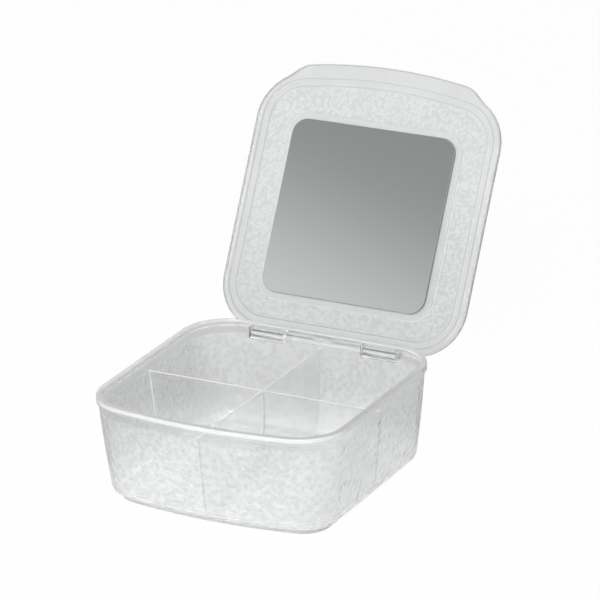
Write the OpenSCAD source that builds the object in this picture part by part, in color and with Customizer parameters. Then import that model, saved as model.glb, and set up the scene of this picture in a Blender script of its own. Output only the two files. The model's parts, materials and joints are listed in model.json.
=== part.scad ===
// Clear vanity box with four compartments and a hinged lid that carries a mirror.
// Millimetres. The origin is on the table, under the middle of the box.
// +Z is up, -Y is the front, and the lid stands open at rest.

/* [Box] */
// Width of the box over its rim
body_w = 120; // [100:1:150]
// Depth of the box over its rim, at the middle
body_d = 118.5; // [100:0.5:150]
// Height of the box to the top of its rim
body_h = 48; // [38:1:70]
// Radius of the corners seen from above
corner_r = 22; // [16:1:30]
// How far the front bulges past a straight line
front_bow = 7.5; // [3:0.5:12]
// Thickness of the side walls
wall_t = 2; // [1.4:0.1:3]
// Height of the inside floor above the table
floor_t = 3.2; // [2.6:0.1:5]
// How far the walls lean in from the rim to the base
wall_draft = 5; // [2:0.5:7]
// Radius of the rounded edge round the base
base_r = 4.5; // [2:0.5:7]
// Radius where the inside walls meet the floor
floor_r = 3.5; // [2:0.5:6]
// Height of the low foot under the base
foot_h = 1.6; // [0.8:0.1:2.4]

/* [Rim] */
// Height of the band round the top edge
rim_band = 2.8; // [2.4:0.1:4]
// How far the band stands out from the wall
rim_out = 1; // [0.9:0.1:1.6]
// Radius of the band's edges
rim_edge = 0.5; // [0.2:0.1:0.7]

/* [Dividers] */
// Thickness of the two divider plates
divider_t = 1; // [0.8:0.1:2]
// How far the dividers stop below the rim
divider_drop = 6.2; // [3:0.1:15]
// How far the crosswise divider stands behind the middle
divider_back = 1.4; // [-10:0.1:10]
// Gap between a divider and the walls and floor
divider_gap = 0.15; // [0.1:0.05:0.4]

/* [Hinge] */
// Diameter of the hinge pin
pin_d = 1; // [0.8:0.1:2]
// Clearance round the pin in the lid, on the radius
pin_play = 0.05; // [0.02:0.01:0.1]
// Diameter of the hinge barrels
barrel_d = 5.6; // [4.4:0.2:7]
// Gap between the back of the rim and the barrels
barrel_gap = 1.3; // [0.8:0.1:3]
// Depth of the hinge axis below the top of the rim
hinge_drop = 5.3; // [4.7:0.1:5.6]
// Width of the lid's barrel
lid_barrel_w = 38.4; // [20:0.2:50]
// Width of each of the box's two barrels
box_barrel_w = 17.4; // [8:0.2:20]
// Gap at each side of the lid's barrel
barrel_side_gap = 0.3; // [0.2:0.05:0.6]
// Angle between the lid and the closed position at rest
open_angle = 119; // [95:1:125]
// Gap left between the stop lug and the band at rest
stop_gap = 0.3; // [0.2:0.05:0.6]
// Width of the stop lug on the lid's barrel
stop_w = 10; // [4:0.5:18]
// Thickness of the stop lug at its tip
stop_t = 0.8; // [0.6:0.1:1.2]

/* [Lid] */
// How far the lid reaches past the rim at each side
lid_out = 1.2; // [0:0.1:2]
// How far the lid reaches past the hinge axis at the back
lid_back = 0.5; // [0:0.1:2]
// Thickness of the lid's edge
lid_t = 3; // [2.4:0.1:5]
// Width of the flat band round the lid's underside
flange_w = 3.5; // [2.5:0.1:5]
// Width of the step inside that band
step_w = 3.2; // [1.5:0.1:5]
// Height of each of the two steps
step_h = 0.6; // [0.3:0.05:0.7]
// Radius of the lid's outer edges
lid_edge = 0.7; // [0.3:0.1:0.9]
// Gap between the closed lid and the rim
lid_gap = 0.2; // [0.1:0.05:0.5]
// Width of the lifting lip at its full depth
lip_w = 79; // [40:1:90]
// How far the lifting lip stands out at the front
lip_out = 3.7; // [2:0.1:8]
// Width of the curve at each end of the lip
lip_blend = 11; // [6:0.5:14]

/* [Mirror] */
// Width of the mirror
mirror_w = 82; // [50:0.5:86]
// Depth of the mirror
mirror_d = 80.6; // [50:0.2:84]
// Thickness of the mirror
mirror_t = 1.5; // [1:0.1:3]
// Radius of the mirror's corners
mirror_r = 7.5; // [3:0.5:20]
// How far the mirror sits behind the middle of the lid
mirror_back = 3; // [-4:0.1:4]
// Thickness of the adhesive sheet behind the mirror
tape_t = 0.3; // [0.2:0.05:1]
// How far the adhesive sheet stays inside the mirror's edge
tape_in = 2.5; // [1:0.5:6]
// Height of the raised pad that carries the mirror
pad_h = 0.6; // [0.3:0.1:1]
// How far the pad shows round the mirror
pad_margin = 3; // [1:0.5:4]

/* [Hidden] */

corner_steps = 12;
front_steps = 12;
lid_front_steps = 36;
wall_steps = 5;
fillet_steps = 4;
draft_curve = 1.3;
round_fn = 48;
overlap = 1;
stop_wall_gap = 0.2;

back_y = body_d / 2;
front_y = body_d / 2;
band_z = body_h - rim_band;
divider_top = body_h - divider_drop;
hinge_y = back_y + barrel_gap + barrel_d / 2;
hinge_z = body_h - hinge_drop;
pin_l = lid_barrel_w + 2 * barrel_side_gap + 2 * box_barrel_w;

lid_w = body_w + 2 * lid_out;
lid_r = corner_r + lid_out;
lid_z = body_h + lid_gap;
lid_back_y = hinge_y + lid_back;
lid_front_y = front_y;
lid_mid_y = (lid_back_y - lid_front_y) / 2;
panel_z = lid_z + 2 * step_h;
mirror_y = lid_mid_y + mirror_back;
pad_z = panel_z - pad_h;
tape_z = pad_z - tape_t;
mirror_z = tape_z - mirror_t;

clear_plastic = [0.86, 0.89, 0.90, 0.45];
clear_edge = [0.80, 0.84, 0.86, 0.55];
steel = [0.50, 0.51, 0.52];
silvered = [0.66, 0.67, 0.67];
white_foam = [0.90, 0.90, 0.88];

// Plan outline
// Each station is an arc centre, a radius and an angle. A ring at an inset
// keeps the centres and shortens the radii, so all the rings are parallel.
function arc(cx, cy, r, a0, a1, steps) =
    [for (i = [0:steps]) [cx, cy, r, a0 + (a1 - a0) * i / steps]];

function bow_radius(w) = (w * w / 4 + front_bow * front_bow) / (2 * front_bow);

function stations(w, back, front, r, steps = front_steps) =
    let (br = bow_radius(w),
         xc = w / 2 - r,
         a = asin(xc / (br - r)),
         yc = br - front - sqrt(pow(br - r, 2) - xc * xc),
         bow = arc(0, br - front, br, -90 - a, -90 + a, steps))
    concat([for (i = [1:steps - 1]) bow[i]],
           arc(xc, yc, r, -90 + a, 0, corner_steps),
           arc(xc, back - r, r, 0, 90, corner_steps),
           arc(-xc, back - r, r, 90, 180, corner_steps),
           arc(-xc, yc, r, 180, 270 - a, corner_steps));

function smooth(t) = t <= 0 ? 0 : t >= 1 ? 1 : t * t * (3 - 2 * t);

function lip_reach(x) = 1 - smooth((abs(x) - lip_w / 2) / lip_blend);

function ring(line, inset, z, lip = 0) =
    [for (s = line)
        let (x = s[0] + (s[2] - inset) * cos(s[3]),
             y = s[1] + (s[2] - inset) * sin(s[3]))
        [x, sin(s[3]) < 0 ? y - lip * lip_reach(x) : y, z]];

// Closed solid through a list of rings, capped at both ends
module loft(rings) {
    n = len(rings[0]);
    last = len(rings) - 1;
    sides = [for (k = [0:last - 1]) for (i = [0:n - 1])
        let (j = (i + 1) % n, a = k * n, b = a + n)
        each [[a + i, b + i, b + j], [a + i, b + j, a + j]]];
    caps = [[for (i = [0:n - 1]) i], [for (i = [n - 1:-1:0]) last * n + i]];
    polyhedron(points = [for (r = rings) each r], faces = concat(caps, sides));
}

// Box walls
function wall_inset(z) = rim_out + wall_draft * pow(max(0, band_z - z) / band_z, draft_curve);

function round_out(r, a) = r * (1 - cos(a));

function rise(r, a) = r * (1 - sin(a));

// Outer side from the foot up to the band, as [inset, z]
function outer_side() =
    let (z0 = foot_h + base_r,
         edge = wall_inset(z0) + base_r)
    concat([[edge + 0.4, 0], [edge, 0.4], [edge, foot_h]],
           [for (i = [fillet_steps - 1:-1:1])
               let (a = 90 * i / fillet_steps, z = foot_h + rise(base_r, a))
               [wall_inset(z) + round_out(base_r, a), z]],
           [for (i = [0:wall_steps])
               let (z = z0 + (band_z - z0) * i / wall_steps)
               [wall_inset(z), z]]);

// Band and rim, from the outside over the top
function rim_side() = [
    [0, band_z],
    [0, body_h - rim_edge],
    [rim_edge * 0.3, body_h - rim_edge * 0.3],
    [rim_edge, body_h],
    [rim_out + wall_t - rim_edge, body_h],
    [rim_out + wall_t, body_h - rim_edge]];

// How far the inside face lies in from the rim's edge at a height
function inner_inset(z) =
    let (low = floor_t + floor_r,
         up = min(1, max(0, (low - z) / floor_r)))
    wall_inset(z) + wall_t + floor_r * (1 - sqrt(1 - up * up));

function inner_side() =
    let (top = band_z,
         low = floor_t + floor_r)
    concat([for (i = [0:wall_steps - 1])
               let (z = top + (low - top) * i / (wall_steps - 1))
               [inner_inset(z), z]],
           [for (i = [1:fillet_steps])
               let (z = low - floor_r * sin(90 * i / fillet_steps))
               [inner_inset(z), z]]);

module box_shell() {
    line = stations(body_w, back_y, front_y, corner_r);
    profile = concat(outer_side(), rim_side(), inner_side());
    loft([for (p = profile) ring(line, p[0], p[1])]);
}

// Hinge
module barrel(x0, w) {
    translate([x0, hinge_y, hinge_z])
        rotate([0, 90, 0])
            cylinder(d = barrel_d, h = w, $fn = round_fn);
}

module pin_hole(x0, w, d) {
    translate([x0 - overlap, hinge_y, hinge_z])
        rotate([0, 90, 0])
            cylinder(d = d, h = w + 2 * overlap, $fn = round_fn);
}

// Web from the back wall to one of the box's barrels
module barrel_web(x0, w) {
    z0 = hinge_z - barrel_d / 2;
    y0 = back_y - wall_inset(z0) - wall_t / 2;
    translate([x0, y0, z0])
        cube([w, hinge_y - y0, barrel_d]);
}

module box_barrels() {
    inner_x = lid_barrel_w / 2 + barrel_side_gap;
    for (x0 = [inner_x, -inner_x - box_barrel_w])
        difference() {
            union() {
                barrel(x0, box_barrel_w);
                barrel_web(x0, box_barrel_w);
            }
            pin_hole(x0, box_barrel_w, pin_d);
        }
}

module box_body() {
    color(clear_plastic) {
        box_shell();
        box_barrels();
    }
}

module hinge_pin() {
    color(steel)
        translate([-pin_l / 2, hinge_y, hinge_z])
            rotate([0, 90, 0])
                cylinder(d = pin_d, h = pin_l, $fn = round_fn);
}

// Dividers
// Profile of a plate that spans from one inside wall to the other
function plate_half(reach, z) = reach - inner_inset(z - divider_gap) - divider_gap;

function plate_heights() =
    let (z0 = floor_t + divider_gap, low = z0 + floor_r)
    concat([for (i = [0:fillet_steps]) z0 + (low - z0) * (1 - cos(90 * i / fillet_steps))],
           [for (i = [1:wall_steps]) low + (divider_top - low) * i / wall_steps]);

module divider_plate(reach) {
    z = plate_heights();
    right = [for (h = z) [plate_half(reach, h), h]];
    left = [for (i = [len(z) - 1:-1:0]) [-right[i][0], z[i]]];
    rotate([90, 0, 0])
        linear_extrude(divider_t, center = true)
            polygon(concat(right, left));
}

// Half of the crossing, cut out of one plate so that the other fits in
module lap_slot(x, z0, z1) {
    w = divider_t + 2 * divider_gap;
    translate([x - w / 2, -divider_t, z0])
        cube([w, 2 * divider_t, z1 - z0]);
}

lap_z = (floor_t + divider_top) / 2;

module divider_crosswise() {
    color(clear_edge)
        translate([0, divider_back, 0])
            difference() {
                divider_plate(body_w / 2);
                lap_slot(0, 0, lap_z + divider_gap);
            }
}

module divider_lengthwise() {
    color(clear_edge)
        rotate([0, 0, 90])
            difference() {
                divider_plate(body_d / 2);
                lap_slot(divider_back, lap_z, body_h);
            }
}

// Lid, built closed and then swung open about the hinge axis
module swung_open() {
    translate([0, hinge_y, hinge_z])
        rotate([-open_angle, 0, 0])
            translate([0, -hinge_y, -hinge_z])
                children();
}

// Underside steps, edge and top, as [inset, z, lip]
function lid_profile() =
    let (top = lid_z + lid_t)
    [[flange_w + step_w, panel_z, 0],
     [flange_w + step_w, lid_z + step_h, 0],
     [flange_w, lid_z + step_h, 0],
     [flange_w, lid_z, 0],
     [lid_edge, lid_z, lip_out],
     [lid_edge * 0.3, lid_z + lid_edge * 0.3, lip_out],
     [0, lid_z + lid_edge, lip_out],
     [0, top - lid_edge * 2, lip_out],
     [lid_edge * 0.3, top - lid_edge * 0.9, lip_out * 0.8],
     [lid_edge, top - lid_edge * 0.3, lip_out * 0.35],
     [lid_edge * 2, top, 0]];

module lid_shell() {
    line = stations(lid_w, lid_back_y, lid_front_y, lid_r, lid_front_steps);
    loft([for (i = [len(lid_profile()) - 1:-1:0])
        let (p = lid_profile()[len(lid_profile()) - 1 - i])
        ring(line, p[0], p[1], p[2])]);
}

module rounded_plate(w, d, r, t) {
    linear_extrude(t) {
        square([w - 2 * r, d], center = true);
        square([w, d - 2 * r], center = true);
        for (x = [-1, 1], y = [-1, 1])
            translate([x * (w / 2 - r), y * (d / 2 - r)])
                circle(r = r, $fn = round_fn);
    }
}

module mirror_pad() {
    translate([0, mirror_y, pad_z])
        rounded_plate(mirror_w + 2 * pad_margin, mirror_d + 2 * pad_margin,
                      mirror_r + pad_margin, pad_h + overlap);
}

// Web from the lid's edge down to its barrel, clear of the rim
module lid_web() {
    y0 = hinge_y - barrel_d / 2;
    translate([-lid_barrel_w / 2, y0, hinge_z])
        cube([lid_barrel_w, lid_back_y - y0, lid_z + step_h + overlap - hinge_z]);
}

// Lug that comes up under the rim's band when the lid is fully open. Its tip
// stays just inside the circle that the back wall leaves free.
module stop_lug() {
    swing = hinge_y - back_y + wall_inset(hinge_z) - stop_wall_gap;
    top = band_z - stop_gap - hinge_z;
    tip = sqrt(swing * swing - top * top);
    translate([0, hinge_y, hinge_z])
        rotate([open_angle, 0, 0])
            rotate([90, 0, 90])
                linear_extrude(stop_w, center = true)
                    polygon([[0, top], [-tip, top], [-tip, top - stop_t], [0, top - 3 * stop_t]]);
}

module lid_cover() {
    color(clear_plastic)
        swung_open()
            difference() {
                union() {
                    lid_shell();
                    mirror_pad();
                    lid_web();
                    barrel(-lid_barrel_w / 2, lid_barrel_w);
                    stop_lug();
                }
                pin_hole(-lid_barrel_w / 2, lid_barrel_w, pin_d + 2 * pin_play);
            }
}

module mirror_tape() {
    color(white_foam)
        swung_open()
            translate([0, mirror_y, tape_z])
                rounded_plate(mirror_w - 2 * tape_in, mirror_d - 2 * tape_in,
                              mirror_r - tape_in / 2, tape_t);
}

module mirror_glass() {
    color(silvered)
        swung_open()
            translate([0, mirror_y, mirror_z])
                rounded_plate(mirror_w, mirror_d, mirror_r, mirror_t);
}

box_body();
divider_lengthwise();
divider_crosswise();
hinge_pin();
lid_cover();
mirror_tape();
mirror_glass();
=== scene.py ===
"""Dresses the clear vanity box: its walls, dividers, hinge, lid and mirror, on a pale floor."""
import json
import math

import bmesh
import bpy
from mathutils import Matrix, Vector

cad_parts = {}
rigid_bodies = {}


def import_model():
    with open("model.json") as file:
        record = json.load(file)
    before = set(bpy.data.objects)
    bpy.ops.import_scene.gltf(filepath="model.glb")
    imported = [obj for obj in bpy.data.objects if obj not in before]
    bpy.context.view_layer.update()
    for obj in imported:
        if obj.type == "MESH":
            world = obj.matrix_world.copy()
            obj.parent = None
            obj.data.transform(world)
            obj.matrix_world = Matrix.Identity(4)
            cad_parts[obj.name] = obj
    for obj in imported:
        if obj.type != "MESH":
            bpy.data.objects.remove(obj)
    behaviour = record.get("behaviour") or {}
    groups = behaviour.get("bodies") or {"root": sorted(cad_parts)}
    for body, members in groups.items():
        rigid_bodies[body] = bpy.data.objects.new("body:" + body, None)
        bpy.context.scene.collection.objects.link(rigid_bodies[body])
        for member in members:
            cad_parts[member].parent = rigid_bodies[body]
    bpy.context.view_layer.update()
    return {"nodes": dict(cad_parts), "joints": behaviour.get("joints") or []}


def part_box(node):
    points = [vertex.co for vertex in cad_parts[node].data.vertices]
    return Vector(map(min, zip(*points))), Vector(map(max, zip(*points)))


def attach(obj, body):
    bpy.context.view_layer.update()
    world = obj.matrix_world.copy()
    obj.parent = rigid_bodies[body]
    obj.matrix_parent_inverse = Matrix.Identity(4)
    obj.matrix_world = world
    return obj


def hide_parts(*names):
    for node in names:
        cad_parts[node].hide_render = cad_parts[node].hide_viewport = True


bl_info = {
    "name": "Clear Vanity Box",
    "version": (1, 0, 0),
    "blender": (4, 5, 0),
    "location": "View3D > Sidebar > Vanity Box",
    "description": "Models the pieces of a clear vanity box round its packed frame",
    "category": "Object",
}

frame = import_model()

MM = 0.001
BODY_LOW, BODY_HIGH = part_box("box_body")
PIN_LOW, PIN_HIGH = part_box("hinge_pin")
HINGE = frame["joints"][0]
HINGE_AT = Vector(HINGE["pos_m"])
OPEN_ANGLE = math.radians(HINGE["range_deg"][1])

# Material slots of the box. Its slot 0 is the smooth wall. Two slots hold painted highlights: the pale
# line round the rim and the paler finish on the rim's top
HAMMERED, RIM_PAINTED_HIGHLIGHT, FOOT, TOP_PAINTED_HIGHLIGHT = range(1, 5)
# The lid's slot for its edge, its steps and the lines beside them, which are painted darker as shade
# lines
LID_EDGE_PAINTED_SHADE = 2
# The dividers' slots for their ends and their top edges, which are painted paler as highlights
PLATE_END_PAINTED_HIGHLIGHT, PLATE_TOP_PAINTED_HIGHLIGHT = 1, 2
# The mirror's slot for its ground edge
GROUND = 1
# Spacing of the squares that the hammered faces are cut into
PITCH = 1.1 * MM
# Points nearer than this count as being at the same height or place
CLOSE = 0.02 * MM
# Painted shading of the hammered cells: how much paler the cells' rims are painted on the walls, and
# the cells' middles on the lid, in place of their glints
WALL_PAINTED_SHADING, LID_PAINTED_SHADING = 0.08, -0.09
# Size of the cells in the lid's finish, as a share of the pebbles
LID_CELL = 0.7
# What the camera looks at, and its focal length in millimetres
CAMERA_AIM = Vector((19.43, 1.4, 84.02)) * MM
FOCAL_LENGTH = 275.65
# Painted shadow round the box: how bright the floor's glow is at each distance from the middle, in
# metres, as plastic and metal see it
PAINTED_SHADOW = ((0.045, 1.0), (0.115, 0.54), (0.22, 0.65), (0.40, 0.78))


def length(name, text, default):
    return bpy.props.FloatProperty(
        name=name, description=text, default=default, min=0.0, unit="LENGTH", precision=5
    )


def colour(name, text, default):
    return bpy.props.FloatVectorProperty(
        name=name, description=text, default=default, min=0.0, max=1.0, subtype="COLOR"
    )


def factor(name, text, default):
    return bpy.props.FloatProperty(
        name=name, description=text, default=default, min=0.0, max=1.0, subtype="FACTOR"
    )


class VANITY_PG_box(bpy.types.PropertyGroup):
    """Sizes of the box and its dividers"""

    width: length("Width", "Width over the rim", BODY_HIGH.x - BODY_LOW.x)
    front: length("Front", "Reach of the rim in front of the origin", -BODY_LOW.y)
    height: length("Height", "Height to the top of the rim", BODY_HIGH.z)
    corner: length("Corner Radius", "Radius of the corners seen from above", 22 * MM)
    bow: length("Front Bow", "How far the front bulges", 7.5 * MM)
    wall: length("Wall", "Thickness of the side walls", 2 * MM)
    floor: length("Floor", "Height of the inside floor", 3.2 * MM)
    draft: length("Draft", "How far the walls lean in", 5 * MM)
    base_radius: length("Base Radius", "Radius of the edge round the base", 4.5 * MM)
    floor_radius: length("Floor Radius", "Radius where the walls meet the floor", 3.5 * MM)
    foot: length("Foot", "Height of the low foot", 1.6 * MM)
    band: length("Rim Band", "Height of the band round the rim", 2.8 * MM)
    rim_out: length("Rim Overhang", "How far the band stands out", 1 * MM)
    rim_edge: length("Rim Edge", "Radius of the band's edges", 0.5 * MM)
    # The white line round the rim and the thin white line under it are painted highlights
    painted_highlight_top: length("White Top", "Height of the white line round the rim", 1.6 * MM)
    painted_highlight_low: length("White Low", "Height of the thin white line under it", 0.3 * MM)
    smooth_band: length("Smooth Strip", "Height of the smooth strip under the rim", 3.6 * MM)
    divider_edge: length("Divider Edge", "Width of the eased edges of the dividers", 0.14 * MM)
    barrel: length("Barrel", "Radius of the hinge barrels", 2.8 * MM)
    barrel_inner: length("Barrel Inner End", "Where the box's barrels start from the middle", 19.5 * MM)
    bore: length("Bore", "Radius of the hole round the hinge pin", 0.53 * MM)


class VANITY_PG_lid(bpy.types.PropertyGroup):
    """Sizes of the lid and the mirror"""

    out: length("Overhang", "How far the lid passes the rim", 1.2 * MM)
    back: length("Back", "How far the lid passes the hinge", 0.5 * MM)
    gap: length("Gap", "Gap between the closed lid and the rim", 0.2 * MM)
    thick: length("Thickness", "Thickness of the lid's edge", 3 * MM)
    flange: length("Flange", "Width of the flat band round the underside", 3.5 * MM)
    step: length("Step Width", "Width of the step inside the band", 3.2 * MM)
    step_height: length("Step Height", "Height of each step", 0.6 * MM)
    # The narrow line beside each step takes the lid edge's darker tint, as a painted shade line
    step_line: length("Step Line", "Width of the line beside each step", 0.35 * MM)
    edge: length("Edge Radius", "Radius of the outer edges", 0.7 * MM)
    lip_width: length("Lip Width", "Width of the lifting lip", 79 * MM)
    lip_out: length("Lip Reach", "How far the lifting lip stands out", 3.7 * MM)
    lip_blend: length("Lip Blend", "Width of the curve at each end of the lip", 11 * MM)
    mirror_width: length("Mirror Width", "Width of the mirror", 82 * MM)
    mirror_depth: length("Mirror Depth", "Depth of the mirror", 80.6 * MM)
    mirror_thick: length("Mirror Thickness", "Thickness of the mirror", 1.5 * MM)
    mirror_corner: length("Mirror Corner", "Radius of the mirror's corners", 7.5 * MM)
    mirror_back: length("Mirror Shift", "How far the mirror sits towards the hinge", 3 * MM)
    tape: length("Adhesive", "Thickness of the adhesive sheet", 0.3 * MM)
    tape_inset: length("Adhesive Inset", "How far the sheet stays inside the mirror", 2.5 * MM)
    barrel_width: length("Barrel Width", "Length of the lid's hinge barrel", 38.4 * MM)
    stop_width: length("Stop Width", "Width of the lug that stops the open lid", 10 * MM)
    stop_thick: length("Stop Thickness", "Thickness of the stop lug at its tip", 0.8 * MM)
    stop_gap: length("Stop Gap", "Gap between the lug and the rim's band", 0.3 * MM)
    stop_reach: length("Stop Reach", "How far the lug reaches from the hinge", 4.5 * MM)
    pad: length("Pad Height", "Height of the pad that carries the mirror", 0.6 * MM)
    pad_margin: length("Pad Margin", "How far the pad shows round the mirror", 3 * MM)


class VANITY_PG_finish(bpy.types.PropertyGroup):
    """Colours and textures of the finishes"""

    wall: colour("Walls", "Tint of the box's clear plastic", (0.905, 0.912, 0.912))
    lid: colour("Lid", "Tint of the lid's clear plastic", (0.865, 0.875, 0.875))
    polished: colour("Polished", "Tint of the dividers and barrels", (0.945, 0.95, 0.95))
    # The lid's edge, its steps and the lines beside them take this darker tint as painted shade lines
    step: colour("Lid Edge", "Tint of the lid's edge and steps", (0.66, 0.67, 0.67))
    # The pale line round the rim is a painted highlight, and the box's barrels share this tint
    rim: colour("Rim", "Tint of the pale line round the rim", (0.94, 0.945, 0.945))
    # This paler tint is painted on the rim's top and on the lengthwise divider's ends as a painted
    # highlight
    soft: colour("Soft Edge", "Tint of the rim's top and the dividers' ends", (0.95, 0.955, 0.955))
    foot: colour("Foot", "Tint of the frosted foot", (0.86, 0.87, 0.87))
    # The dividers' white top edges are a painted highlight
    edge: colour("Edges", "Colour of the white top edges of the dividers", (0.99, 0.99, 0.99))
    # The pin's near-black colour is painted shade, standing in for the dark reflections along the
    # polished pin
    steel: colour("Steel", "Colour of the hinge pin", (0.03, 0.03, 0.033))
    silver: colour("Silver", "Colour of the mirror's silvering", (0.80, 0.81, 0.81))
    foam: colour("Foam", "Colour of the adhesive sheet", (0.82, 0.82, 0.80))
    pebble: length("Pebble Size", "Size of the hammered texture's cells", 2.4 * MM)
    pebble_depth: length("Pebble Depth", "Depth of the hammered texture", 0.26 * MM)
    wall_clarity: factor("Wall Clarity", "How much light the hammered walls let through", 0.76)
    band_clarity: factor("Band Clarity", "How much light the smooth walls let through", 0.94)
    # The rim, soft edge, lid edge, edge and barrel clarities are part of painted light: highlights on
    # the rim, dividers and barrels, and shade lines on the lid
    rim_clarity: factor("Rim Clarity", "How much light the rim's pale line lets through", 0.30)
    soft_clarity: factor("Soft Edge Clarity", "How much light the soft edges let through", 0.48)
    foot_clarity: factor("Foot Clarity", "How much light the frosted foot lets through", 0.60)
    lid_clarity: factor("Lid Clarity", "How much light the lid lets through", 0.84)
    step_clarity: factor("Lid Edge Clarity", "How much light the lid's edge lets through", 0.72)
    polished_clarity: factor("Polished Clarity", "How much light the dividers let through", 0.98)
    edge_clarity: factor("Edge Clarity", "How much light the white edges let through", 0.02)
    barrel_clarity: factor("Barrel Clarity", "How much light the box's barrels let through", 0.78)


class VANITY_PG_stage(bpy.types.PropertyGroup):
    """Camera and light"""

    azimuth: bpy.props.FloatProperty(
        name="Azimuth", description="Camera's turn round the box",
        default=math.radians(28.35), subtype="ANGLE")
    elevation: bpy.props.FloatProperty(
        name="Elevation", description="Camera's height above the horizon",
        default=math.radians(21.41), subtype="ANGLE")
    roll: bpy.props.FloatProperty(
        name="Roll", description="Camera's turn about its own axis",
        default=math.radians(-1.66), subtype="ANGLE")
    distance: length("Distance", "Camera's distance from its target", 1.98323)
    key: bpy.props.FloatProperty(
        name="Key", description="Power of the key lamp in watts", default=25.0, min=0.0)
    fill: bpy.props.FloatProperty(
        name="Fill", description="Power of the fill lamp in watts", default=4.0, min=0.0)
    overhead: bpy.props.FloatProperty(
        name="Overhead", description="Power of the lamp above in watts", default=3.0, min=0.0)
    ambient: factor("Ambient", "Strength of the light from all round", 0.25)


# Mesh tools


def deselect():
    if bpy.context.mode != "OBJECT":
        bpy.ops.object.mode_set(mode="OBJECT")
    bpy.ops.object.select_all(action="DESELECT")


def pick(*pieces):
    """Selects these pieces alone, with the last one active."""
    deselect()
    for piece in pieces:
        piece.select_set(True)
        bpy.context.view_layer.objects.active = piece


def edit(piece):
    pick(piece)
    bpy.ops.object.mode_set(mode="EDIT")
    bpy.ops.mesh.select_mode(type="VERT")


def rest():
    bpy.ops.object.mode_set(mode="OBJECT")


def select_edges(piece, test):
    """Selects the edges of the mesh in edit mode that pass the test."""
    bpy.ops.mesh.select_mode(type="EDGE")
    bpy.ops.mesh.select_all(action="DESELECT")
    shape = bmesh.from_edit_mesh(piece.data)
    for e in shape.edges:
        if test(e):
            e.select_set(True)
    shape.select_flush_mode()
    bmesh.update_edit_mesh(piece.data)


def select_faces(piece, test):
    """Selects the faces of the mesh in edit mode that pass the test."""
    bpy.ops.mesh.select_mode(type="FACE")
    bpy.ops.mesh.select_all(action="DESELECT")
    shape = bmesh.from_edit_mesh(piece.data)
    for f in shape.faces:
        if test(f):
            f.select_set(True)
    bmesh.update_edit_mesh(piece.data)


def box_piece(name, low, high):
    """A box between two corners, with its object at the origin."""
    deselect()
    low, high = Vector(low), Vector(high)
    bpy.ops.mesh.primitive_cube_add(size=1.0, location=(low + high) / 2)
    piece = bpy.context.object
    piece.name = piece.data.name = name
    piece.scale = high - low
    bpy.ops.object.transform_apply(location=True, rotation=True, scale=True)
    return piece


def rod_piece(name, at, radius, long, sides=64):
    """A rod along X, centred on a point, with its object at the origin."""
    deselect()
    bpy.ops.mesh.primitive_cylinder_add(
        vertices=sides, radius=radius, depth=long, location=at, rotation=(0, math.pi / 2, 0))
    piece = bpy.context.object
    piece.name = piece.data.name = name
    bpy.ops.object.transform_apply(location=True, rotation=True, scale=True)
    return piece


def rounded_plate(name, middle, size, corner, thick, edge):
    """A flat plate with round corners and eased edges. Its underside is at the middle point."""
    half = Vector((size[0] / 2, size[1] / 2, 0))
    top = Vector((0, 0, thick))
    piece = box_piece(name, Vector(middle) - half, Vector(middle) + half + top)
    edit(piece)
    select_edges(piece, lambda e: abs(e.verts[0].co.z - e.verts[1].co.z) > thick / 2)
    bpy.ops.mesh.bevel(offset=corner, segments=16, affect="EDGES")
    select_edges(piece, lambda e: abs(e.verts[0].co.z - e.verts[1].co.z) < thick / 4)
    bpy.ops.mesh.bevel(offset=edge, segments=3, affect="EDGES")
    rest()
    return piece


def apply_modifier(piece, kind, name, **values):
    pick(piece)
    modifier = piece.modifiers.new(name, kind)
    for key, value in values.items():
        setattr(modifier, key, value)
    bpy.ops.object.modifier_apply(modifier=name)


def combine(piece, other, operation):
    """Joins or cuts two closed pieces, and removes the second."""
    apply_modifier(piece, "BOOLEAN", operation.lower(), operation=operation,
                   object=other, solver="MANIFOLD")
    bpy.data.objects.remove(other)


def ease(piece, width, segments=2, angle=40):
    apply_modifier(piece, "BEVEL", "eased edges", width=width, segments=segments,
                   limit_method="ANGLE", angle_limit=math.radians(angle))


def smooth(piece, angle=32):
    """Shades the curves smooth, and keeps the flats flat beside them."""
    pick(piece)
    bpy.ops.object.shade_smooth_by_angle(angle=math.radians(angle))
    apply_modifier(piece, "WEIGHTED_NORMAL", "flat normals", keep_sharp=True, weight=80)


def outward(piece):
    edit(piece)
    bpy.ops.mesh.select_all(action="SELECT")
    bpy.ops.mesh.normals_make_consistent(inside=False)
    rest()


def tidy_section(points):
    """Drops points that fall on the one before."""
    kept = [points[0]]
    for p in points[1:]:
        if math.hypot(p[0] - kept[-1][0], p[1] - kept[-1][1]) > CLOSE:
            kept.append(p)
    return kept


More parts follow.
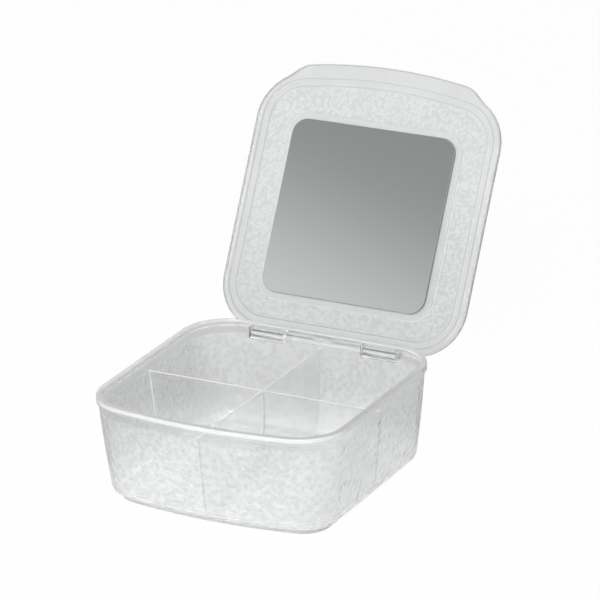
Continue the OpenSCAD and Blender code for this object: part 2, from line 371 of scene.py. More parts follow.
def sweep(name, plan, section, step):
    """Carries a section round a plan of straight sides and arcs.

    The section is a list of (inset, height, pull). It is extruded along the
    straight sides and spun round the corners and the bowed front.
    """
    half, back, front, radius, bow = plan
    arc = (half * half + bow * bow) / (2 * bow)
    across = half - radius
    turn = math.asin(across / (arc - radius))
    front_centre = arc - front - math.sqrt((arc - radius) ** 2 - across * across)
    deselect()
    bpy.ops.mesh.primitive_plane_add(size=MM)
    piece = bpy.context.object
    piece.name = piece.data.name = name
    edit(piece)
    bpy.ops.mesh.select_all(action="SELECT")
    bpy.ops.mesh.merge(type="CENTER")
    places = [Vector((half - p[0], front_centre, p[1])) for p in section]
    bpy.ops.transform.translate(value=places[0])
    for before, after in zip(places, places[1:]):
        bpy.ops.mesh.extrude_region_move(TRANSFORM_OT_translate={"value": after - before})
    rest()
    pull = piece.data.attributes.new("pull", "FLOAT", "POINT")
    for vertex in piece.data.vertices:
        nearest = min(range(len(places)), key=lambda i: (places[i] - vertex.co).length)
        pull.data[vertex.index].value = section[nearest][2]
    edit(piece)
    bpy.ops.mesh.select_all(action="SELECT")

    def straight(x, y):
        count = max(1, round(math.hypot(x, y) / step))
        bpy.ops.mesh.extrude_repeat(steps=count, offset=(x / count, y / count, 0))

    def round_corner(centre, angle, size):
        # With no window, spin turns the other way, so the angle is negative
        count = max(3, round(abs(angle) * size / step))
        bpy.ops.mesh.spin(steps=count, angle=-angle, center=(*centre, 0), axis=(0, 0, 1))

    side = back - radius - front_centre
    quarter = math.pi / 2
    straight(0, side)
    round_corner((across, back - radius), quarter, radius)
    straight(-2 * across, 0)
    round_corner((-across, back - radius), quarter, radius)
    straight(0, -side)
    round_corner((-across, front_centre), quarter - turn, radius)
    round_corner((0, arc - front), 2 * turn, arc)
    round_corner((across, front_centre), quarter - turn, radius)
    bpy.ops.mesh.select_all(action="SELECT")
    bpy.ops.mesh.remove_doubles(threshold=0.01 * MM)
    rest()
    return piece, front_centre


def close_ring(piece, height):
    """Fills the open ring at a height with one flat face."""
    edit(piece)
    select_edges(piece, lambda e: e.is_boundary
                 and all(abs(v.co.z - height) < CLOSE for v in e.verts))
    bpy.ops.mesh.edge_face_add()
    rest()


def net(piece, height, pitch, reach):
    """Cuts the flat face at a height into squares, and leaves them in the hammered slot.

    The face and a narrow border round it are cut apart from the rest, which is
    quicker, and joined again.
    """
    edit(piece)
    select_faces(piece, lambda f: all(abs(v.co.z - height) < CLOSE for v in f.verts))
    bpy.ops.mesh.inset(thickness=0.3 * MM)
    piece.active_material_index = HAMMERED
    bpy.ops.object.material_slot_assign()
    bpy.ops.mesh.select_more()
    bpy.ops.mesh.separate(type="SELECTED")
    rest()
    patch = next(o for o in bpy.context.selected_objects if o is not piece)
    edit(patch)
    patch.active_material_index = HAMMERED
    count = math.floor(reach / pitch)
    for axis in ((1, 0, 0), (0, 1, 0)):
        for i in range(-count, count + 1):
            bpy.ops.mesh.select_all(action="DESELECT")
            bpy.ops.object.material_slot_select()
            bpy.ops.mesh.bisect(plane_co=Vector(axis) * (i + 0.5) * pitch, plane_no=axis)
    pick(patch, piece)
    bpy.ops.object.join()
    edit(piece)
    bpy.ops.mesh.select_all(action="SELECT")
    bpy.ops.mesh.remove_doubles(threshold=0.002 * MM)
    rest()


def hammer(piece, finish):
    """Sinks pebbled cells into the faces of the hammered slot."""
    cells = bpy.data.textures.new("pebbled cells", "VORONOI")
    cells.noise_scale = finish.pebble
    cells.distance_metric = "DISTANCE_SQUARED"
    group = piece.vertex_groups.new(name="hammered")
    corners = {}
    for face in piece.data.polygons:
        for v in face.vertices:
            corners.setdefault(v, set()).add(face.material_index == HAMMERED)
    group.add([v for v, kinds in corners.items() if kinds == {True}], 1.0, "REPLACE")
    apply_modifier(piece, "DISPLACE", "pebbles", texture=cells, texture_coords="LOCAL",
                   vertex_group="hammered", mid_level=0.0, strength=-finish.pebble_depth)
    bpy.data.textures.remove(cells)


# Finishes


def new_material(name):
    material = bpy.data.materials.new(name)
    material.use_nodes = True
    tree = material.node_tree
    shader = tree.nodes["Principled BSDF"]
    return material, tree, shader


def object_place(tree):
    return tree.nodes.new("ShaderNodeTexCoord").outputs["Object"]


def between(tree, source, low, high):
    """Scales a 0 to 1 value to a range."""
    node = tree.nodes.new("ShaderNodeMapRange")
    tree.links.new(source, node.inputs["Value"])
    node.inputs["To Min"].default_value = low
    node.inputs["To Max"].default_value = high
    return node.outputs["Result"]


def noise(tree, place, scale, detail=3.0):
    node = tree.nodes.new("ShaderNodeTexNoise")
    node.inputs["Scale"].default_value = scale
    node.inputs["Detail"].default_value = detail
    tree.links.new(place, node.inputs["Vector"])
    return node.outputs["Fac"]


def tinted(tree, source, colour_value, spread):
    """The colour, made a little lighter and darker over the surface."""
    ramp = tree.nodes.new("ShaderNodeValToRGB")
    tree.links.new(source, ramp.inputs["Fac"])
    for element, share in zip(ramp.color_ramp.elements, (1 - spread, 1 + spread)):
        element.color = (*[min(1.0, c * share) for c in colour_value], 1)
    ramp.color_ramp.elements[0].position = 0.35
    ramp.color_ramp.elements[1].position = 0.65
    return ramp.outputs["Color"]


def lets_lamps_through(tree, shader, passed):
    """Lets lamps shine through the clear plastic, a little dimmed."""
    path = tree.nodes.new("ShaderNodeLightPath")
    open_way = tree.nodes.new("ShaderNodeBsdfTransparent")
    open_way.inputs["Color"].default_value = (passed, passed, passed, 1)
    mix = tree.nodes.new("ShaderNodeMixShader")
    tree.links.new(path.outputs["Is Shadow Ray"], mix.inputs["Fac"])
    tree.links.new(shader.outputs["BSDF"], mix.inputs[1])
    tree.links.new(open_way.outputs["BSDF"], mix.inputs[2])
    tree.links.new(mix.outputs["Shader"], tree.nodes["Material Output"].inputs["Surface"])


def clear_plastic(name, finish, tint, clarity, bump_and_painted_shading=0.0, cell=1.0):
    """Clear moulded plastic, smooth or with a hammered surface.

    The value of ridges sets the cells' bump, and how much paler their rims are painted, or their
    middles where it is below zero: painted shading in place of their glints. Cell is their size, as a
    share of the pebbles.
    """
    material, tree, shader = new_material(name)
    place = object_place(tree)
    clouds = noise(tree, place, 90.0)
    shader.inputs["Transmission Weight"].default_value = clarity
    shader.inputs["IOR"].default_value = 1.49
    bump = tree.nodes.new("ShaderNodeBump")
    if bump_and_painted_shading:
        cells = tree.nodes.new("ShaderNodeTexVoronoi")
        cells.feature = "SMOOTH_F1"
        cells.inputs["Scale"].default_value = 1 / (cell * finish.pebble)
        cells.inputs["Smoothness"].default_value = 0.25
        tree.links.new(place, cells.inputs["Vector"])
        tree.links.new(cells.outputs["Distance"], bump.inputs["Height"])
        bump.inputs["Distance"].default_value = 0.25 * finish.pebble_depth
        bump.invert = bump_and_painted_shading < 0
        # Painted shading: the cells' rims, or their middles, are painted paler and the rest darker, in
        # place of their glints
        rise = (0.0, 1.0) if bump_and_painted_shading > 0 else (1.0, 0.0)
        pale = between(tree, cells.outputs["Distance"], *rise)
        tree.links.new(tinted(tree, pale, tint, abs(bump_and_painted_shading)), shader.inputs["Base Color"])
    else:
        tree.links.new(noise(tree, place, 120.0, 1.0), bump.inputs["Height"])
        bump.inputs["Distance"].default_value = 0.05 * MM
        tree.links.new(tinted(tree, clouds, tint, 0.015), shader.inputs["Base Color"])
    tree.links.new(between(tree, clouds, 0.03, 0.10), shader.inputs["Roughness"])
    tree.links.new(bump.outputs["Normal"], shader.inputs["Normal"])
    lets_lamps_through(tree, shader, 0.78)
    return material


def drawn_steel_painted_dark(finish):
    material, tree, shader = new_material("drawn_steel_painted_dark")
    place = object_place(tree)
    mapping = tree.nodes.new("ShaderNodeMapping")
    mapping.inputs["Scale"].default_value = (0.05, 1, 1)
    tree.links.new(place, mapping.inputs["Vector"])
    lines = noise(tree, mapping.outputs["Vector"], 4000.0)
    # Painted shade: the steel is near-black so that the pin shows as a dark line
    tree.links.new(tinted(tree, lines, finish.steel, 0.25), shader.inputs["Base Color"])
    tree.links.new(between(tree, lines, 0.22, 0.38), shader.inputs["Roughness"])
    shader.inputs["Metallic"].default_value = 1.0
    return material


def silvering(finish):
    """The mirror's face: bright metal behind glass, with faint smears."""
    material, tree, shader = new_material("silvered_glass")
    place = object_place(tree)
    smears = noise(tree, place, 35.0)
    tree.links.new(tinted(tree, smears, finish.silver, 0.01), shader.inputs["Base Color"])
    tree.links.new(between(tree, smears, 0.015, 0.05), shader.inputs["Roughness"])
    shader.inputs["Metallic"].default_value = 1.0
    return material


def ground_edge():
    """The mirror's ground edge: dull, darker glass."""
    material, tree, shader = new_material("ground_glass_edge")
    place = object_place(tree)
    grain = noise(tree, place, 900.0)
    tree.links.new(tinted(tree, grain, (0.30, 0.32, 0.31), 0.15), shader.inputs["Base Color"])
    shader.inputs["Roughness"].default_value = 0.35
    return material


def adhesive_foam(finish):
    material, tree, shader = new_material("adhesive_foam")
    place = object_place(tree)
    cells = noise(tree, place, 1500.0)
    tree.links.new(tinted(tree, cells, finish.foam, 0.06), shader.inputs["Base Color"])
    shader.inputs["Roughness"].default_value = 0.8
    return material


def give(piece, *materials):
    piece.data.materials.clear()
    for material in materials:
        piece.data.materials.append(material)


def finishes():
    """The finishes, made once and shared by the pieces."""
    finish = bpy.context.scene.vanity_finish
    if "wall_smooth" not in bpy.data.materials:
        clear_plastic("wall_smooth", finish, finish.wall, finish.band_clarity)
        clear_plastic("wall_hammered_painted_shading", finish, finish.wall, finish.wall_clarity, WALL_PAINTED_SHADING)
        clear_plastic("lid_smooth", finish, finish.lid, finish.lid_clarity)
        clear_plastic("lid_hammered_painted_shading", finish, finish.lid, finish.lid_clarity, LID_PAINTED_SHADING,
                      LID_CELL)
        # Painted light: the lid's edge is painted darker as shade lines; the soft edges, the box's
        # barrels, the rim's pale line and the dividers' white edges are painted paler as highlights
        clear_plastic("lid_edge", finish, finish.step, finish.step_clarity)
        clear_plastic("polished_plate", finish, finish.polished, finish.polished_clarity)
        clear_plastic("edge_painted_highlight", finish, finish.soft, finish.soft_clarity)
        clear_plastic("barrel_painted_highlight", finish, finish.rim, finish.barrel_clarity)
        clear_plastic("rim_painted_highlight", finish, finish.rim, finish.rim_clarity)
        clear_plastic("frosted_foot", finish, finish.foot, finish.foot_clarity)
        clear_plastic("divider_edge_painted_highlight", finish, finish.edge, finish.edge_clarity)
        drawn_steel_painted_dark(finish)
        silvering(finish)
        ground_edge()
        adhesive_foam(finish)
    return bpy.data.materials


# Sections


def wall_inset(box, z):
    """How far the outside of the wall lies inside the rim's edge at a height."""
    top = box.height - box.band
    return box.rim_out + box.draft * max(0.0, (top - z) / top) ** 1.3


def arc_points(centre, radius, start, end, count):
    """Points of an arc as (inset, height); angle 0 points outwards and 90 up."""
    return [(centre[0] - radius * math.cos(math.radians(start + (end - start) * i / count)),
             centre[1] + radius * math.sin(math.radians(start + (end - start) * i / count)))
            for i in range(count + 1)]


def box_section(box, step):
    """The wall's section from the foot, up the outside, over the rim and down inside."""
    top = box.height - box.band
    low = box.foot + box.base_radius
    edge = wall_inset(box, low) + box.base_radius
    points = arc_points((edge + 0.4 * MM, 0.4 * MM), 0.4 * MM, -90, 0, 3)
    points.append((edge, box.foot - 0.2 * MM))
    for angle in range(-90, 1, 9):
        z = low + box.base_radius * math.sin(math.radians(angle))
        points.append((wall_inset(box, z) + box.base_radius
                       * (1 - math.cos(math.radians(angle))), z))
    rows = round((top - low) / step)
    points += [(wall_inset(box, low + (top - low) * i / rows), low + (top - low) * i / rows)
               for i in range(1, rows)]
    points += arc_points((wall_inset(box, top) - 0.3 * MM, top - 0.3 * MM),
                         0.3 * MM, 180, 90, 3)
    soft = box.rim_edge
    points += arc_points((0.25 * MM, top + 0.25 * MM), 0.25 * MM, -90, 0, 3)
    points += [(0, top + 0.9 * MM), (0, top + 1.6 * MM)]
    points += arc_points((soft, box.height - soft), soft, 0, 90, 5)
    points += arc_points((box.rim_out + box.wall - soft, box.height - soft), soft, 90, 180, 5)
    under = box.floor + box.floor_radius
    rows = 16
    points += [(wall_inset(box, z) + box.wall, z)
               for z in [top + (under - top) * i / rows for i in range(rows)]]
    for angle in range(0, 91, 9):
        z = under - box.floor_radius * math.sin(math.radians(angle))
        points.append((wall_inset(box, z) + box.wall + box.floor_radius
                       * (1 - math.cos(math.radians(angle))), z))
    return [(*p, 0.0) for p in tidy_section(points)]


def lid_section(box, lid):
    """The lid's section from the panel, over the steps, round the edge and onto the top."""
    low = box.height + lid.gap
    top = low + lid.thick
    panel = low + 2 * lid.step_height
    soft = 0.15 * MM
    inner = lid.flange + lid.step
    edge = lid.edge
    points = [(inner + 1.5 * MM, panel, 0), (inner + soft, panel, 0),
              (inner, panel - soft, 0), (inner, low + lid.step_height + soft, 0),
              (inner - soft, low + lid.step_height, 0),
              (inner - soft - lid.step_line, low + lid.step_height, 0),
              (lid.flange + soft, low + lid.step_height, 0),
              (lid.flange, low + lid.step_height - soft, 0),
              (lid.flange, low + soft, 0), (lid.flange - soft, low, 0),
              (lid.flange - soft - lid.step_line, low, 0)]
    for i in range(1, 4):
        points.append((lid.flange - (lid.flange - edge) * i / 4, low, i / 4))
    points += [(*p, 1.0) for p in arc_points((edge, low + edge), edge, -90, 0, 5)]
    shoulder = arc_points((edge * 1.6, top - edge * 1.6), edge * 1.6, 0, 90, 7)
    points += [(*p, 1.0 - (i / 7) ** 2) for i, p in enumerate(shoulder)]
    points.append((edge * 1.6 + 1.5 * MM, top, 0))
    return points


def lip_reach(lid, x):
    t = min(1.0, max(0.0, (abs(x) - lid.lip_width / 2) / lid.lip_blend))
    return 1 - t * t * (3 - 2 * t)


def swing_open(piece):
    """Turns a piece made in the closed position about the hinge to where the lid rests."""
    piece.matrix_world = (Matrix.Translation(HINGE_AT)
                          @ Matrix.Rotation(-OPEN_ANGLE, 4, "X")
                          @ Matrix.Translation(-HINGE_AT))
    pick(piece)
    bpy.ops.object.transform_apply(location=True, rotation=True, scale=True)


def stop_lug(box, lid):
    """The tapered lug on the open lid's barrel, which comes up under the rim's band."""
    top = box.height - box.band - lid.stop_gap
    half = lid.stop_width / 2
    lug = box_piece("lug", (-half, HINGE_AT.y - lid.stop_reach, top - lid.stop_thick),
                    (half, HINGE_AT.y - box.bore - 0.4 * MM, top))
    edit(lug)
    select_faces(lug, lambda f: f.normal.y > 0.9)
    bpy.ops.transform.resize(value=(1, 1, 3))
    bpy.ops.transform.translate(value=(0, 0, -lid.stop_thick))
    rest()
    ease(lug, 0.12 * MM)
    give(lug, finishes()["polished_plate"])
    smooth(lug)
    return lug


class VANITY_OT_box(bpy.types.Operator):
    """Model the box's walls, floor, rim and two hinge barrels"""

    bl_idname = "vanity.box"
    bl_label = "Clear Box"

    def execute(self, context):
        box = context.scene.vanity_box
        half = box.width / 2
        step = 0.7 * MM
        plan = (half, box.front, box.front, box.corner, box.bow)
        shell, _ = sweep("clear_box", plan, box_section(box, step), step)
        give(shell, *[finishes()[n] for n in
                       ("wall_smooth", "wall_hammered_painted_shading", "rim_painted_highlight", "frosted_foot",
                        "edge_painted_highlight")])
        close_ring(shell, box.floor)
        close_ring(shell, 0.0)
        net(shell, 0.0, PITCH, half)
        outward(shell)
        top = box.height - box.band - box.smooth_band
        for face in shell.data.polygons:
            c, n = face.center, face.normal
            if box.foot < c.z < top and c.x * n.x + c.y * n.y > 0 and n.z < 0.3:
                face.material_index = HAMMERED
            # Painted highlights: the rim's top and inner edge take the paler soft edge finish, and the
            # outside of the rim's top and a thin strip at the bottom of the band take the pale line,
            # except at the back
            outside = c.x * n.x + c.y * n.y > 0
            upper = c.z > box.height - box.painted_highlight_top
            lower = 0 < c.z - (box.height - box.band) < box.painted_highlight_low
            if upper and (n.z > 0.2 or not outside):
                face.material_index = TOP_PAINTED_HIGHLIGHT
            if outside and n.z < 0.6 and (upper or lower) and c.y < box.front - box.corner:
                face.material_index = RIM_PAINTED_HIGHLIGHT
            if c.z < box.foot and face.material_index != HAMMERED:
                face.material_index = FOOT
        hammer(shell, context.scene.vanity_finish)
        smooth(shell)
        outer = PIN_HIGH.x
        inner = box.barrel_inner
        barrels = []
        wall_y = box.front - wall_inset(box, HINGE_AT.z) - box.wall / 2
        for side in (-1, 1):
            low_x, high_x = sorted((side * inner, side * outer))
            middle = ((low_x + high_x) / 2, HINGE_AT.y, HINGE_AT.z)
            block = box_piece("block", (low_x, wall_y, HINGE_AT.z - box.barrel),
                              (high_x, HINGE_AT.y, HINGE_AT.z + box.barrel))
            ease(block, 0.25 * MM)
            barrel = rod_piece("barrel", middle, box.barrel, high_x - low_x)
            ease(barrel, 0.2 * MM)
            combine(block, barrel, "UNION")
            combine(block, rod_piece("hole", middle, box.bore, high_x - low_x + 2 * MM, 32),
                    "DIFFERENCE")
            # Painted highlight: the box's barrels take the rim's paler tint and let less light through,
            # so they render whiter than the walls
            give(block, finishes()["barrel_painted_highlight"])
            smooth(block)
            barrels.append(block)
        pick(*barrels)
        bpy.ops.object.join()
        combine(shell, bpy.context.object, "UNION")
        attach(shell, "box")
        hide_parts("box_body")
        return {"FINISHED"}


class VANITY_OT_dividers(bpy.types.Operator):
    """Model the two polished divider plates with eased edges, painted paler on their top edges and ends
    as highlights
    """

    bl_idname = "vanity.dividers"
    bl_label = "Dividers"

    def execute(self, context):
        box = context.scene.vanity_box
        for node, name in (("divider_lengthwise", "long_plate"),
                           ("divider_crosswise", "cross_plate")):
            deselect()
            plate = bpy.data.objects.new(name, frame["nodes"][node].data.copy())
            context.scene.collection.objects.link(plate)
            plate.data.name = name
            edit(plate)
            bpy.ops.mesh.select_all(action="SELECT")
            bpy.ops.mesh.remove_doubles(threshold=0.002 * MM)
            bpy.ops.mesh.dissolve_limited(angle_limit=math.radians(0.5))
            rest()
            ease(plate, box.divider_edge)
            smooth(plate)
            lengthwise = node == "divider_lengthwise"
            # Painted highlights: the plates' ends take a paler finish, and their top edges a
            # near-opaque white
            end = "edge_painted_highlight" if lengthwise else "rim_painted_highlight"
            give(plate, *[finishes()[n] for n in ("polished_plate", end, "divider_edge_painted_highlight")])
            across = 0 if lengthwise else 1
            for face in plate.data.polygons:
                if abs(face.normal[across]) < 0.95:
                    face.material_index = PLATE_TOP_PAINTED_HIGHLIGHT if face.normal.z > 0.5 else PLATE_END_PAINTED_HIGHLIGHT
            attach(plate, "box")
            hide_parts(node)
        return {"FINISHED"}


class VANITY_OT_pin(bpy.types.Operator):
    """Model the steel hinge pin with rounded ends"""

    bl_idname = "vanity.pin"
    bl_label = "Hinge Pin"

    def execute(self, context):
        radius = (PIN_HIGH.z - PIN_LOW.z) / 2
        pin = rod_piece("steel_pin", HINGE_AT, radius, PIN_HIGH.x - PIN_LOW.x, 48)
        ease(pin, radius * 0.35, 4)
        smooth(pin)
        give(pin, finishes()["drawn_steel_painted_dark"])
        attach(pin, "box")
        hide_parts("hinge_pin")
        return {"FINISHED"}


class VANITY_OT_lid(bpy.types.Operator):
    """Model the lid with its steps, lifting lip, mirror pad and middle barrel"""

    bl_idname = "vanity.lid"
    bl_label = "Lid"

    def execute(self, context):
        box, lid = context.scene.vanity_box, context.scene.vanity_lid
        half = box.width / 2 + lid.out
        back = HINGE_AT.y + lid.back
        plan = (half, back, box.front, box.corner + lid.out, box.bow)
        shell, front_centre = sweep("clear_lid", plan, lid_section(box, lid), 1.2 * MM)
        low = box.height + lid.gap
        give(shell, *[finishes()[n] for n in ("lid_smooth", "lid_hammered_painted_shading", "lid_edge")])
        panel = low + 2 * lid.step_height
        close_ring(shell, low + lid.thick)
        close_ring(shell, panel)
        net(shell, panel, PITCH, half)
        pull = shell.data.attributes["pull"]
        for vertex in shell.data.vertices:
            if vertex.co.y < front_centre:
                vertex.co.y -= (lid.lip_out * pull.data[vertex.index].value
                                * lip_reach(lid, vertex.co.x))
        outward(shell)
        # Painted shade lines: the lid's steep edge faces and the narrow lines beside the steps take the
        # darker lid edge finish
        for face in shell.data.polygons:
            steep = abs(face.normal.z) < 0.9 and low < face.center.z
            corners = [shell.data.vertices[v].co for v in face.vertices]
            narrow = min((a - b).length for a, b in zip(corners, corners[1:])) < 1.05 * lid.step_line
            if steep or narrow and face.center.z < panel - 0.1 * MM:
                face.material_index = LID_EDGE_PAINTED_SHADE
        hammer(shell, context.scene.vanity_finish)
        smooth(shell)
        middle = (0, (back - box.front) / 2 + lid.mirror_back, panel - lid.pad)
        margin = 2 * lid.pad_margin
        pad = rounded_plate("pad", middle, (lid.mirror_width + margin, lid.mirror_depth + margin),
                            lid.mirror_corner + lid.pad_margin, lid.pad + 0.8 * MM, 0.2 * MM)
        wide = lid.barrel_width
        web = box_piece("web", (-wide / 2, HINGE_AT.y - box.barrel, HINGE_AT.z),
                        (wide / 2, back, low + lid.step_height + 1 * MM))
        ease(web, 0.25 * MM)
        barrel = rod_piece("barrel", HINGE_AT, box.barrel, wide)
        ease(barrel, 0.2 * MM)
        combine(web, barrel, "UNION")
        combine(web, rod_piece("hole", HINGE_AT, box.bore, wide + 2 * MM, 32), "DIFFERENCE")
        for extra, finish in ((pad, "lid_smooth"), (web, "polished_plate")):
            give(extra, finishes()[finish])
            smooth(extra)
            combine(shell, extra, "UNION")
        swing_open(shell)
        combine(shell, stop_lug(box, lid), "UNION")
        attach(shell, "lid")
        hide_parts("lid_cover")
        return {"FINISHED"}


class VANITY_OT_mirror(bpy.types.Operator):
    """Model the mirror and the adhesive sheet behind it"""

    bl_idname = "vanity.mirror"
    bl_label = "Mirror"

    def execute(self, context):
        box, lid = context.scene.vanity_box, context.scene.vanity_lid
        back = HINGE_AT.y + lid.back
        y = (back - box.front) / 2 + lid.mirror_back
        pad = box.height + lid.gap + 2 * lid.step_height - lid.pad
        low = pad - lid.tape - lid.mirror_thick
        glass = rounded_plate("silvered_mirror", (0, y, low), (lid.mirror_width, lid.mirror_depth),
                              lid.mirror_corner, lid.mirror_thick, 0.25 * MM)
        smooth(glass)
        give(glass, finishes()["silvered_glass"], finishes()["ground_glass_edge"])
        for face in glass.data.polygons:
            if abs(face.normal.z) < 0.97:
                face.material_index = GROUND
        inset = 2 * lid.tape_inset
        sheet = rounded_plate("adhesive_sheet", (0, y, pad - lid.tape),
                              (lid.mirror_width - inset, lid.mirror_depth - inset),
                              lid.mirror_corner - lid.tape_inset / 2, lid.tape, 0.05 * MM)
        smooth(sheet)
        give(sheet, finishes()["adhesive_foam"])
        for piece, node, slot in ((glass, "mirror_glass", "silvered_glass"),
                                  (sheet, "mirror_tape", "adhesive")):
            swing_open(piece)
            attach(piece, "lid")
            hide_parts(node)
        return {"FINISHED"}


def seen(tree, shares):
    """How much of a backdrop's own white a ray sees, by the kind of ray."""
    path = tree.nodes.new("ShaderNodeLightPath")
    most = None
    for kind, share in shares.items():
        part = between(tree, path.outputs[kind], 0.0, share)
        if most:
            node = tree.nodes.new("ShaderNodeMath")
            node.operation = "MAXIMUM"
            tree.links.new(most, node.inputs[0])
            tree.links.new(part, node.inputs[1])
            part = node.outputs["Value"]
        most = part
    return most


def white_with_painted_shadow(tree):
    """White to the camera. Plastic and metal see a painted soft shadow on it round the box."""
    path = tree.nodes.new("ShaderNodeLightPath")
    away = tree.nodes.new("ShaderNodeVectorMath")
    away.operation = "LENGTH"
    tree.links.new(object_place(tree), away.inputs[0])
    shade = tree.nodes.new("ShaderNodeValToRGB")
    tree.links.new(away.outputs["Value"], shade.inputs["Fac"])
    ramp = shade.color_ramp
    ramp.interpolation = "EASE"
    ramp.elements.new(PAINTED_SHADOW[1][0])
    ramp.elements.new(PAINTED_SHADOW[2][0])
    for element, (radius, level) in zip(ramp.elements, PAINTED_SHADOW):
        element.position = radius
        element.color = (level, level, level, 1)
    most = tree.nodes.new("ShaderNodeMath")
    most.operation = "MAXIMUM"
    tree.links.new(path.outputs["Is Camera Ray"], most.inputs[0])
    tree.links.new(shade.outputs["Color"], most.inputs[1])
    return most.outputs["Value"]


def pale_floor():
    deselect()
    bpy.ops.mesh.primitive_plane_add(size=8.0)
    floor = bpy.context.object
    floor.name = "pale_floor"
    material, tree, shader = new_material("pale_floor")
    shader.inputs["Base Color"].default_value = (0.9, 0.9, 0.9, 1)
    shader.inputs["Roughness"].default_value = 1.0
    glow = tree.nodes.new("ShaderNodeEmission")
    mix = tree.nodes.new("ShaderNodeMixShader")
    shares = {"Is Camera Ray": 0.97, "Is Glossy Ray": 0.85, "Is Transmission Ray": 0.97}
    tree.links.new(seen(tree, shares), mix.inputs["Fac"])
    tree.links.new(white_with_painted_shadow(tree), glow.inputs["Strength"])
    tree.links.new(shader.outputs["BSDF"], mix.inputs[1])
    tree.links.new(glow.outputs["Emission"], mix.inputs[2])
    tree.links.new(mix.outputs["Shader"], tree.nodes["Material Output"].inputs["Surface"])
    give(floor, material)


def white_world(ambient):
    world = bpy.data.worlds.new("studio")
    bpy.context.scene.world = world
    world.use_nodes = True
    tree = world.node_tree
    background = tree.nodes["Background"]
    background.inputs["Color"].default_value = (1, 1, 1, 1)
    shares = {"Is Camera Ray": 1.0, "Is Glossy Ray": 1.0, "Is Transmission Ray": 0.4}
    tree.links.new(between(tree, seen(tree, shares), ambient, 1.0), background.inputs["Strength"])


def grey_card():
    """A graded grey card in front, which only polished surfaces show."""
    at, aim = Vector((-0.52, -0.82, 0.70)), Vector((0.0, 0.095, 0.09))
    deselect()
    bpy.ops.mesh.primitive_plane_add(size=1.0, location=at)
    card = bpy.context.object
    card.name = "grey_card"
    card.scale = (1.1, 0.9, 1)
    card.rotation_euler = (at - aim).to_track_quat("Z", "Y").to_euler()
    material = bpy.data.materials.new("grey_card")
    material.use_nodes = True
    tree = material.node_tree
    tree.nodes.remove(tree.nodes["Principled BSDF"])
    glow = tree.nodes.new("ShaderNodeEmission")
    split = tree.nodes.new("ShaderNodeSeparateXYZ")
    tree.links.new(object_place(tree), split.inputs["Vector"])
    ramp = tree.nodes.new("ShaderNodeMapRange")
    ramp.interpolation_type = "SMOOTHSTEP"
    ramp.inputs["From Min"].default_value = 0.09
    ramp.inputs["From Max"].default_value = -0.09
    ramp.inputs["To Min"].default_value = 0.34
    ramp.inputs["To Max"].default_value = 0.81
    tree.links.new(split.outputs["Y"], ramp.inputs["Value"])
    tree.links.new(ramp.outputs["Result"], glow.inputs["Strength"])
    tree.links.new(glow.outputs["Emission"], tree.nodes["Material Output"].inputs["Surface"])
    give(card, material)
    for ray in ("camera", "diffuse", "transmission", "shadow", "volume_scatter"):
        setattr(card, "visible_" + ray, False)


def lamp(name, at, aim, size, power):
    deselect()
    bpy.ops.object.light_add(type="AREA", location=at)
    light = bpy.context.object
    light.name = name
    light.data.size = size
    light.data.energy = power
    light.rotation_euler = (Vector(aim) - Vector(at)).to_track_quat("-Z", "Y").to_euler()


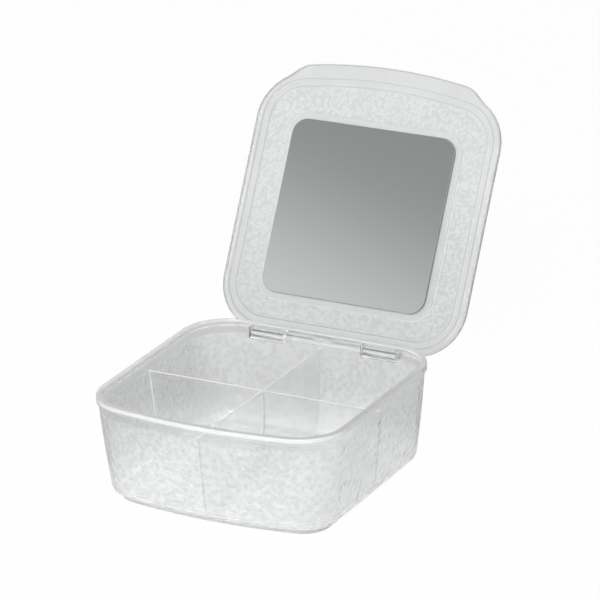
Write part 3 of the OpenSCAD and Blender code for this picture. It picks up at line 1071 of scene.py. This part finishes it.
def camera(stage):
    """Sets the camera where the photographed box was seen from."""
    a, e, r = stage.azimuth, stage.elevation, stage.roll
    back = Vector((math.sin(a) * math.cos(e), -math.cos(a) * math.cos(e), math.sin(e)))
    right = Vector((math.cos(a), math.sin(a), 0))
    up = back.cross(right)
    across = math.cos(r) * right + math.sin(r) * up
    upward = -math.sin(r) * right + math.cos(r) * up
    at = CAMERA_AIM + back * stage.distance
    deselect()
    bpy.ops.object.camera_add(location=at)
    viewer = bpy.context.object
    viewer.rotation_euler = Matrix((across, upward, back)).transposed().to_euler()
    viewer.data.lens = FOCAL_LENGTH
    viewer.data.sensor_width = 36
    viewer.data.shift_x = 0.0011
    viewer.data.shift_y = 0.0114
    viewer.data.clip_start = 0.05
    bpy.context.scene.camera = viewer


class VANITY_OT_stage(bpy.types.Operator):
    """Set the floor, the lamps, the white background and the camera"""

    bl_idname = "vanity.stage"
    bl_label = "Stage"

    def execute(self, context):
        stage = context.scene.vanity_stage
        pale_floor()
        white_world(stage.ambient)
        lamp("key_lamp", (0.25, -1.6, 0.95), (0, 0, 0.05), 0.9, stage.key)
        lamp("fill_lamp", (-1.5, 0.3, 1.0), (0, 0, 0.05), 0.8, stage.fill)
        lamp("overhead_lamp", (0.1, 0.1, 1.7), (0, 0, 0.05), 0.8, stage.overhead)
        grey_card()
        camera(stage)
        context.scene.view_settings.view_transform = "Standard"
        return {"FINISHED"}


class VANITY_PT_pieces(bpy.types.Panel):
    """Lists the pieces of the vanity box"""

    bl_idname = "VANITY_PT_pieces"
    bl_label = "Vanity Box"
    bl_space_type = "VIEW_3D"
    bl_region_type = "UI"
    bl_category = "Vanity Box"

    def draw(self, context):
        for kind in STEPS:
            self.layout.operator(kind.bl_idname)


GROUPS = {
    "vanity_box": VANITY_PG_box,
    "vanity_lid": VANITY_PG_lid,
    "vanity_finish": VANITY_PG_finish,
    "vanity_stage": VANITY_PG_stage,
}
STEPS = (VANITY_OT_box, VANITY_OT_dividers, VANITY_OT_pin, VANITY_OT_lid,
         VANITY_OT_mirror, VANITY_OT_stage)
CLASSES = (*GROUPS.values(), *STEPS, VANITY_PT_pieces)


def register():
    for kind in CLASSES:
        bpy.utils.register_class(kind)
    for name, kind in GROUPS.items():
        setattr(bpy.types.Scene, name, bpy.props.PointerProperty(type=kind))


def unregister():
    for name in GROUPS:
        delattr(bpy.types.Scene, name)
    for kind in reversed(CLASSES):
        bpy.utils.unregister_class(kind)


def main():
    register()
    bpy.ops.vanity.box()
    bpy.ops.vanity.dividers()
    bpy.ops.vanity.pin()
    bpy.ops.vanity.lid()
    bpy.ops.vanity.mirror()
    bpy.ops.vanity.stage()


if __name__ == "__main__":
    main()
